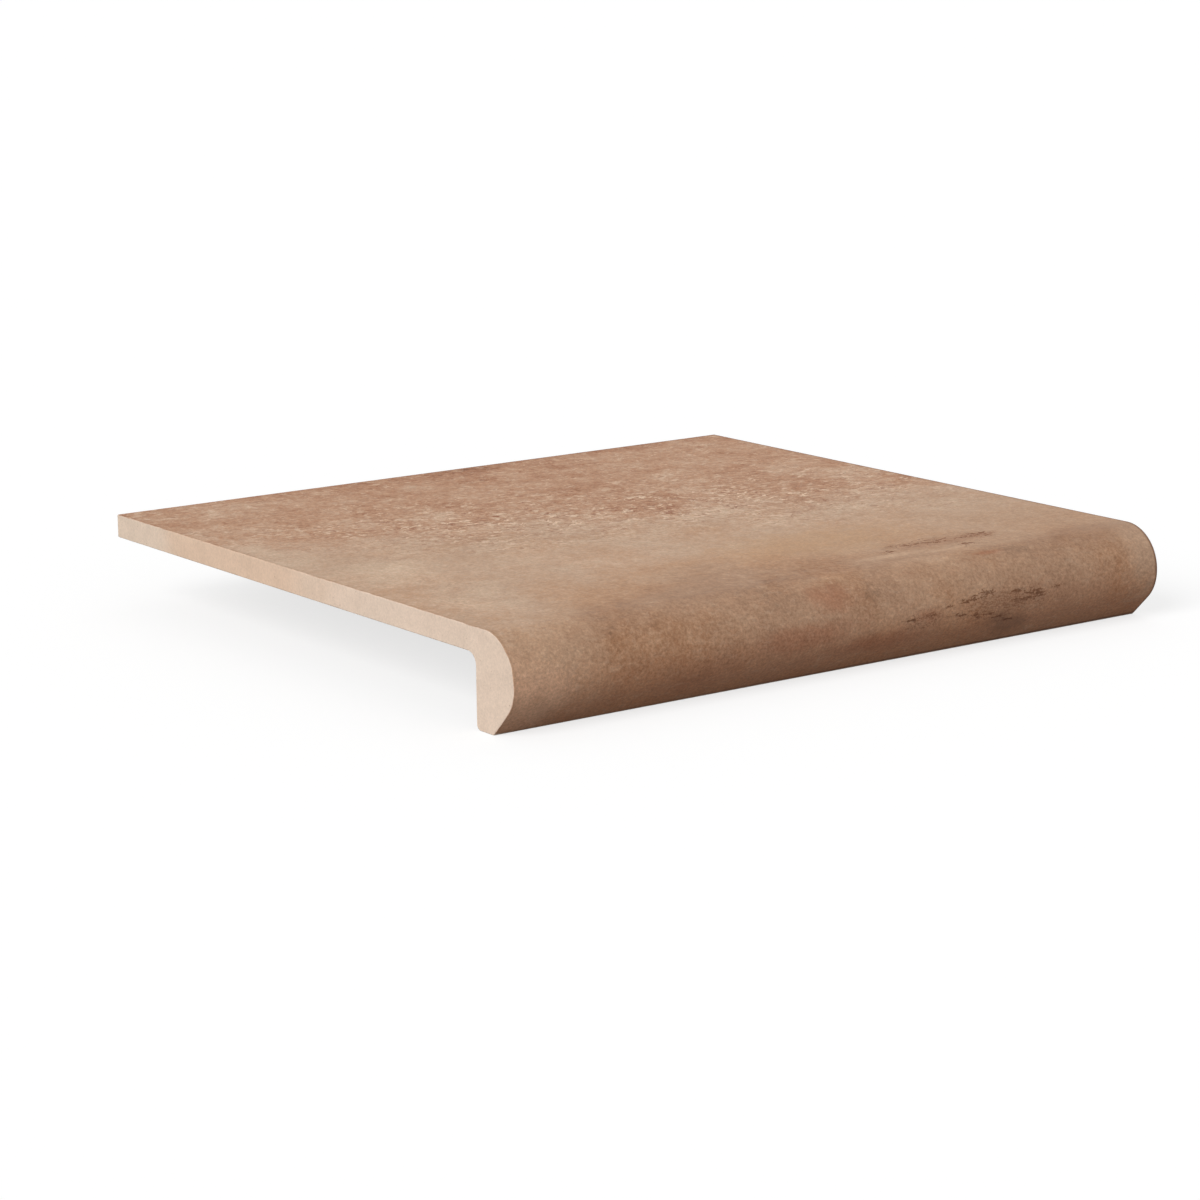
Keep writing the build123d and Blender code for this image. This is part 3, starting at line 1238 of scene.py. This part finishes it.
    def ripple(self, sweep: Sweep, reach: Array) -> None:
        """Lets the glazed side lie a little uneven, always inside the true outline.

        The unevenness is the mean of many sine waves of seeded length, heading and phase, brought to 0 to 1.

        Args:
            sweep: the swept section, whose places are changed.
            reach: distance inside the glaze's edge, over which the unevenness fades out.
        """
        draw = np.random.default_rng(self.seed + 1)
        length = draw.uniform(*self.relief_lengths, self.relief_waves)
        heading = draw.uniform(0, np.pi, self.relief_waves)
        phase = draw.uniform(0, 2 * np.pi, self.relief_waves)
        glazed = slice(0, sweep.steps[Side.GLAZED])
        along = sweep.across[:, None, None] * np.cos(heading)
        down = sweep.path[None, glazed, None] * np.sin(heading)
        waves = np.sin(2 * np.pi * (along + down) / length + phase).mean(2)
        share = (waves - waves.min()) / (waves.max() - waves.min())
        fade = np.clip(reach[:, glazed] / self.reach_limit, 0, 1)
        sweep.places[:, glazed, 1:] -= (self.relief * share * fade)[..., None] * sweep.normals[glazed]

    def skinned(self, sweep: Sweep, reach: Array) -> Skin:
        """Joins the swept sides and the two ends into one closed skin.

        Args:
            sweep: the swept section.
            reach: glaze reach by station and outline point.

        Returns:
            The skin, with its faces pointing outwards.
        """
        stations, count = sweep.places.shape[:2]
        ids = np.arange(stations * count).reshape(stations, count)
        ahead = np.roll(ids, -1, axis=1)
        quads = np.stack([ids[:-1], ahead[:-1], ahead[1:], ids[1:]], -1)
        station = np.arange(stations - 1)[:, None, None] + np.array([0, 0, 1, 1])
        point = np.arange(count)[None, :, None] + np.array([0, 1, 1, 0])
        station, point = np.broadcast_arrays(station, point)
        across, path = sweep.across[station], sweep.path[point]
        unrolled = np.stack([across - sweep.across[-1] / 2, path], -1)
        glazed = slice(0, sweep.steps[Side.GLAZED])
        layout = self.layout.bare(across, path, sweep.path[glazed.stop])
        layout[:, glazed] = self.layout.glazed(across, path)[:, glazed]

        skin = Skin(
            sweep.places.reshape(-1, 3),
            quads.reshape(-1, 4),
            unrolled.reshape(-1, 2),
            layout.reshape(-1, 2),
            reach.ravel(),
        )
        self.add_end(skin, ids[0], sweep.steps, column=0, flip=True)
        self.add_end(skin, ids[-1], sweep.steps, column=1, flip=False)
        return skin

    def add_end(
        self, skin: Skin, ring: NDArray[np.int64], steps: dict[Side, int], column: int, flip: bool
    ) -> None:
        """Fills one end with a patch between its four sides.

        Each inner place is the blend of the two long sides, plus the blend of the two short sides, less the
        blend of the four corners.

        Args:
            skin: the skin so far, changed in place.
            ring: numbers of the end's outline points.
            steps: number of segments of each side.
            column: column of the bake layout that the end goes to.
            flip: turns the faces round, for the end that looks along -X.
        """
        long, short = steps[Side.GLAZED], steps[Side.FOOT]
        number = np.zeros((long + 1, short + 1), np.int64)
        number[:, 0] = ring[: long + 1]
        number[:, -1] = ring[2 * long + short - np.arange(long + 1)]
        number[-1, :] = ring[long : long + short + 1]
        number[0, :] = ring[-np.arange(short + 1)]
        first = len(skin.places)
        number[1:-1, 1:-1] = first + np.arange((long - 1) * (short - 1)).reshape(long - 1, short - 1)

        s = np.linspace(0, 1, long + 1)[:, None, None]
        t = np.linspace(0, 1, short + 1)[None, :, None]
        outer, under = skin.places[number[:, :1]], skin.places[number[:, -1:]]
        rear, foot = skin.places[number[:1, :]], skin.places[number[-1:, :]]
        rear_corners = (1 - t) * outer[:1] + t * under[:1]
        foot_corners = (1 - t) * outer[-1:] + t * under[-1:]
        corners = (1 - s) * rear_corners + s * foot_corners
        patch = (1 - t) * outer + t * under + (1 - s) * rear + s * foot - corners
        patch[..., 0] = skin.places[ring[0]][0]
        inner = patch[1:-1, 1:-1].reshape(-1, 3)

        quads = np.stack([number[:-1, :-1], number[1:, :-1], number[1:, 1:], number[:-1, 1:]], -1)
        quads = quads.reshape(-1, 4)
        quads = quads[:, ::-1] if flip else quads
        skin.places = np.vstack([skin.places, inner])
        skin.faces = np.vstack([skin.faces, quads])
        skin.reach = np.concatenate([skin.reach, np.full(len(inner), -self.reach_limit)])
        depth, height = (skin.places[quads.ravel()][:, axis] for axis in (1, 2))
        skin.unrolled = np.vstack([skin.unrolled, np.column_stack([depth, height])])
        skin.layout = np.vstack([skin.layout, self.layout.end(depth - depth.min(), height, column)])


@dataclass(frozen=True)
class Lamp:
    """A soft lamp far away."""

    name: str
    shines_from: tuple[float, float, float]
    width: float  # how wide it looks, in degrees
    level: float  # how brightly it lights a white card that faces it


@dataclass
class Studio:
    """Plain pale floor, soft light and the camera."""

    floor_reach: float = 14.0
    floor_grey: float = 0.30
    floor_glow: float = 0.73
    sky: float = 0.42
    lamps: tuple[Lamp, ...] = (
        Lamp("key_lamp", (-0.80, -0.25, 0.55), 35.0, 0.75),
        Lamp("fill_lamp", (0.60, 0.55, 0.58), 60.0, 0.10),
        Lamp("front_lamp", (-0.25, -0.95, 0.10), 60.0, 0.14),
    )
    aim: tuple[float, float, float] = (-0.07325, -0.07748, 0.02871)
    distance: float = 1.4525
    heading: float = 35.98  # degrees from +Y towards +X
    pitch: float = 12.46  # degrees downwards
    roll: float = -0.54
    lens: float = 99.73  # in millimetres, as the sensor
    sensor: float = 36.0
    farthest: float = 100.0

    def build(self) -> None:
        """Sets up the floor, the sky, the lamps, the camera and the plain view transform."""
        self.floor()
        self.light()
        self.camera()
        bpy.context.scene.view_settings.view_transform = "Standard"

    @staticmethod
    def seen_directly(bench: Bench) -> Socket:
        """Gives 1 to rays that show the background: from the camera, in a reflection or through glass."""
        path = bench.add("ShaderNodeLightPath")
        mirrored = bench.maths("MAXIMUM", path.outputs["Is Glossy Ray"], path.outputs["Is Transmission Ray"])
        return bench.maths("MAXIMUM", path.outputs["Is Camera Ray"], mirrored)

    def floor(self) -> bpy.types.Object:
        """Makes the floor: grey in the light that it throws back, white with a soft shadow where it is seen.

        From below it is clear, so that the underside of the tile can be looked at.

        Returns:
            The floor's object.
        """
        corner = self.floor_reach
        mesh = bpy.data.meshes.new("floor")
        mesh.from_pydata(
            [(-corner, -corner, 0), (corner, -corner, 0), (corner, corner, 0), (-corner, corner, 0)],
            [],
            [(0, 1, 2, 3)],
        )
        paint = bpy.data.materials.new("floor_paint")
        paint.use_nodes = True
        bench = Bench(paint.node_tree)
        shader = paint.node_tree.nodes["Principled BSDF"]
        shader.inputs["Base Color"].default_value = (self.floor_grey, self.floor_grey, self.floor_grey, 1.0)
        shader.inputs["Roughness"].default_value = 1.0
        shader.inputs["Specular IOR Level"].default_value = 0.0
        shader.inputs["Emission Color"].default_value = WHITE
        glow = bench.times(self.seen_directly(bench), self.floor_glow)
        bench.put(glow, shader.inputs["Emission Strength"])
        below = bench.add("ShaderNodeNewGeometry").outputs["Backfacing"]
        clear = bench.add("ShaderNodeMixShader")
        bench.put(below, clear.inputs["Fac"])
        bench.put(shader.outputs[0], clear.inputs[1])
        bench.put(bench.add("ShaderNodeBsdfTransparent").outputs[0], clear.inputs[2])
        bench.put(clear.outputs[0], paint.node_tree.nodes["Material Output"].inputs["Surface"])
        mesh.materials.append(paint)
        return linked("floor", mesh)

    def light(self) -> None:
        """Sets up a sky that is white where it is seen and lights the tile softly, and the lamps."""
        world = bpy.data.worlds.new("studio_sky")
        world.use_nodes = True
        bench = Bench(world.node_tree)
        backdrop = world.node_tree.nodes["Background"]
        backdrop.inputs["Color"].default_value = WHITE
        bench.put(bench.between(self.seen_directly(bench), self.sky, 1.0), backdrop.inputs["Strength"])
        bpy.context.scene.world = world
        for lamp in self.lamps:
            light = bpy.data.lights.new(lamp.name, "SUN")
            light.angle = math.radians(lamp.width)
            light.energy = lamp.level * math.pi
            turned = Vector(lamp.shines_from).to_track_quat("Z", "Y")
            linked(lamp.name, light).rotation_euler = turned.to_euler()

    def camera(self) -> None:
        """Places the camera: back from the aim by the distance, turned by heading, pitch and roll."""
        heading, pitch, roll = (math.radians(angle) for angle in (self.heading, self.pitch, self.roll))
        flat = Vector((math.sin(heading), math.cos(heading), 0))
        forward = flat * math.cos(pitch) - Vector((0, 0, math.sin(pitch)))
        level_right = Vector((math.cos(heading), -math.sin(heading), 0))
        level_up = level_right.cross(forward)
        right = level_right * math.cos(roll) + level_up * math.sin(roll)
        up = level_up * math.cos(roll) - level_right * math.sin(roll)
        lens = bpy.data.cameras.new("camera")
        lens.lens = self.lens
        lens.sensor_width = self.sensor
        lens.clip_end = self.farthest
        made = linked("camera", lens)
        turned = Matrix((right, up, -forward)).transposed().to_4x4()
        made.matrix_world = Matrix.Translation(Vector(self.aim) - forward * self.distance) @ turned
        bpy.context.scene.camera = made


def main() -> None:
    """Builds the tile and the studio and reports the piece."""
    logging.basicConfig(level=logging.INFO, format="%(name)s: %(message)s")
    tile = TreadTile()
    piece = tile.build()
    tile.dress(piece)
    log.info("%s: %d faces, body root", piece.name, len(piece.data.polygons))
    Studio().build()
    log.info("floor, lamps and camera are in place")


if __name__ == "__main__":
    main()
